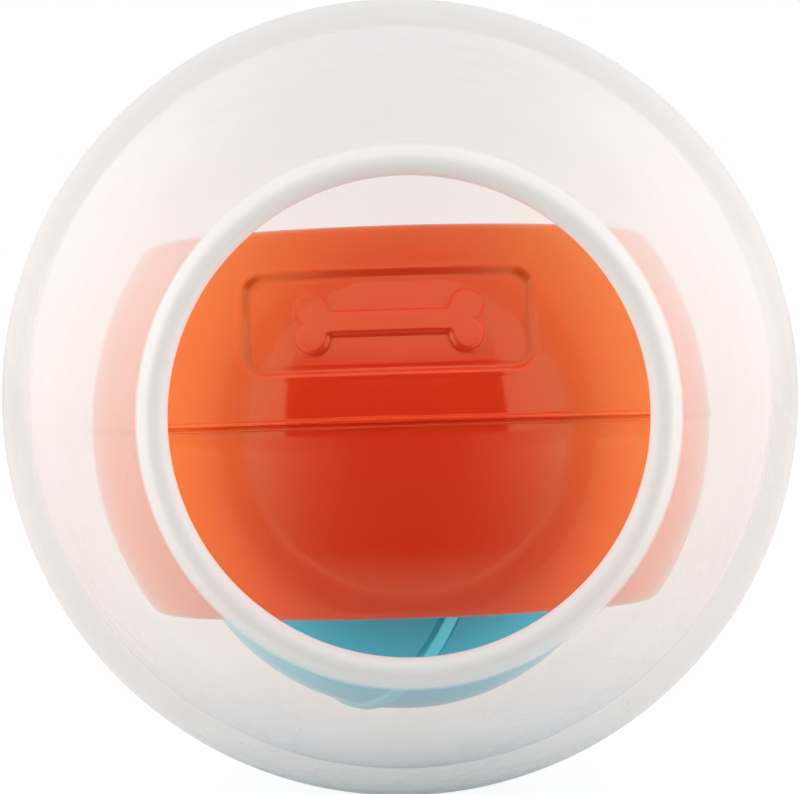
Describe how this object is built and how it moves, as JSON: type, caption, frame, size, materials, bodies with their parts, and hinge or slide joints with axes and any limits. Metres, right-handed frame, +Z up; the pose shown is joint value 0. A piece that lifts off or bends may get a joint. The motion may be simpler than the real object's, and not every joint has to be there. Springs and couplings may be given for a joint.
{
  "type": "dog puzzle toy",
  "caption": "Nested treat puzzle ball for dogs: a translucent ball with a round mouth, an open ended barrel tumbling inside it and a ball inside the barrel.",
  "frame": {"origin": "the point where the outer ball touches the floor, straight under its middle", "axes": "+Z up, -Y out of the mouth, +X to the right of someone who looks into the mouth"},
  "size_m": [0.127, 0.1144, 0.127],
  "materials": {
    "clear_shell": "thick milky translucent plastic, glossy, with faint flow streaks",
    "orange_plastic": "glossy orange blow moulded plastic",
    "blue_plastic": "glossy sky blue blow moulded plastic"
  },
  "bodies": {
    "outer_ball": {"outer_ball": "clear_shell"},
    "barrel": {"barrel": "orange_plastic"},
    "centre_ball": {"centre_ball": "blue_plastic"}
  },
  "joints": [
    {"name": "barrel_tumble", "type": "hinge", "parent": "outer_ball", "child": "barrel", "pos_m": [0, 0, 0.0593], "axis": [1, 0, 0], "continuous": true},
    {"name": "ball_travel", "type": "slide", "parent": "barrel", "child": "centre_ball", "axis": [0, 0.075, 0.9972], "range_m": [0, 0.0184]}
  ]
}
